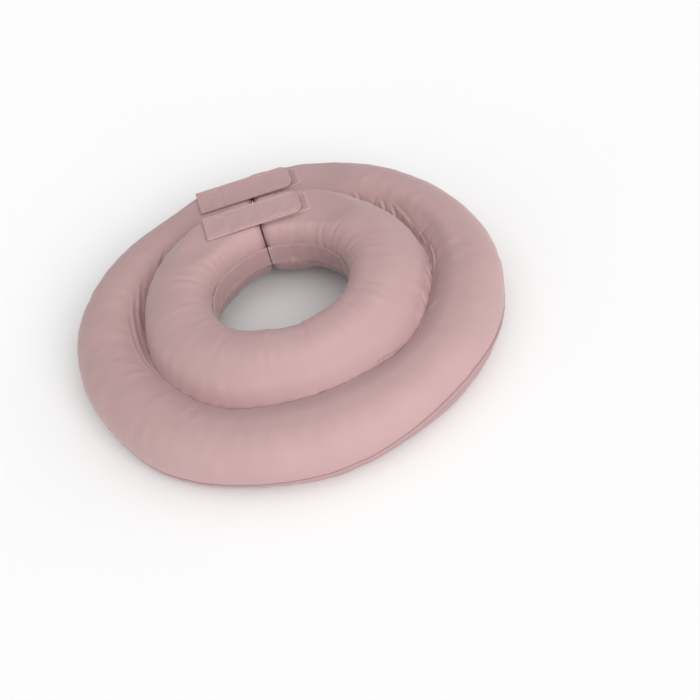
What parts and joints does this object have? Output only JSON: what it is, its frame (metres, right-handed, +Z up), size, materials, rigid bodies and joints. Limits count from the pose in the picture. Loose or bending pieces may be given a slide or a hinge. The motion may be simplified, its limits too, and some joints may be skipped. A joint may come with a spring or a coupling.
{
  "type": "elizabethan collar",
  "caption": "Soft stuffed recovery collar for a dog: a low round ring sewn round a taller neck cushion, slit at the nape and closed by hook-and-loop tabs.",
  "frame": {"origin": "on the floor that the ring lies on, on the axis of the neck opening", "axes": "+Z up along the neck opening, towards the dog's head; +Y towards the nape slit; -Y towards the throat; +X towards the half that carries the loop tapes"},
  "size_m": [0.36, 0.36, 0.0765],
  "materials": {
    "cover_fabric": "smooth matt brushed polyester, dusty pink",
    "underside_fabric": "smooth matt brushed polyester, a shade darker",
    "seam_fabric": "folded and stitched edge of the cover fabric",
    "tab_fabric": "double layer of the cover fabric, topstitched",
    "polyester_fill": "loose white polyester fibre",
    "loop_tape": "soft loop pile",
    "hook_tape": "stiff nylon hooks"
  },
  "bodies": {
    "left_half": {"left_ring_top_cover": "cover_fabric", "left_ring_bottom_cover": "underside_fabric", "left_ring_fill": "polyester_fill", "left_ring_end_cap": "cover_fabric", "left_rim_welt": "seam_fabric", "left_cushion_top_cover": "cover_fabric", "left_cushion_bottom_cover": "underside_fabric", "left_cushion_fill": "polyester_fill", "left_cushion_end_cap": "cover_fabric", "left_neck_band": "seam_fabric", "left_channel_seam": "seam_fabric", "ring_tab_base": "tab_fabric", "neck_tab_base": "tab_fabric"},
    "right_half": {"right_ring_top_cover": "cover_fabric", "right_ring_bottom_cover": "underside_fabric", "right_ring_fill": "polyester_fill", "right_ring_end_cap": "cover_fabric", "right_rim_welt": "seam_fabric", "right_cushion_top_cover": "cover_fabric", "right_cushion_bottom_cover": "underside_fabric", "right_cushion_fill": "polyester_fill", "right_cushion_end_cap": "cover_fabric", "right_neck_band": "seam_fabric", "right_channel_seam": "seam_fabric", "ring_loop_tape": "loop_tape", "neck_loop_tape": "loop_tape"},
    "ring_tab": {"ring_hook_tape": "hook_tape", "ring_tab_strap": "tab_fabric"},
    "neck_tab": {"neck_hook_tape": "hook_tape", "neck_tab_strap": "tab_fabric"}
  },
  "joints": [
    {"name": "throat_flex", "type": "hinge", "parent": "left_half", "child": "right_half", "pos_m": [0, -0.1815, 0.02], "axis": [0, 0, -1], "range_deg": [0, 25], "stiffness_Nm_per_rad": 0.15},
    {"name": "ring_tab_peel", "type": "hinge", "parent": "left_half", "child": "ring_tab", "pos_m": [-0.024, 0.1495, 0.0509], "axis": [0, -1, 0], "range_deg": [0, 150]},
    {"name": "neck_tab_peel", "type": "hinge", "parent": "left_half", "child": "neck_tab", "pos_m": [-0.024, 0.0815, 0.0744], "axis": [0, -1, 0], "range_deg": [0, 150]}
  ]
}
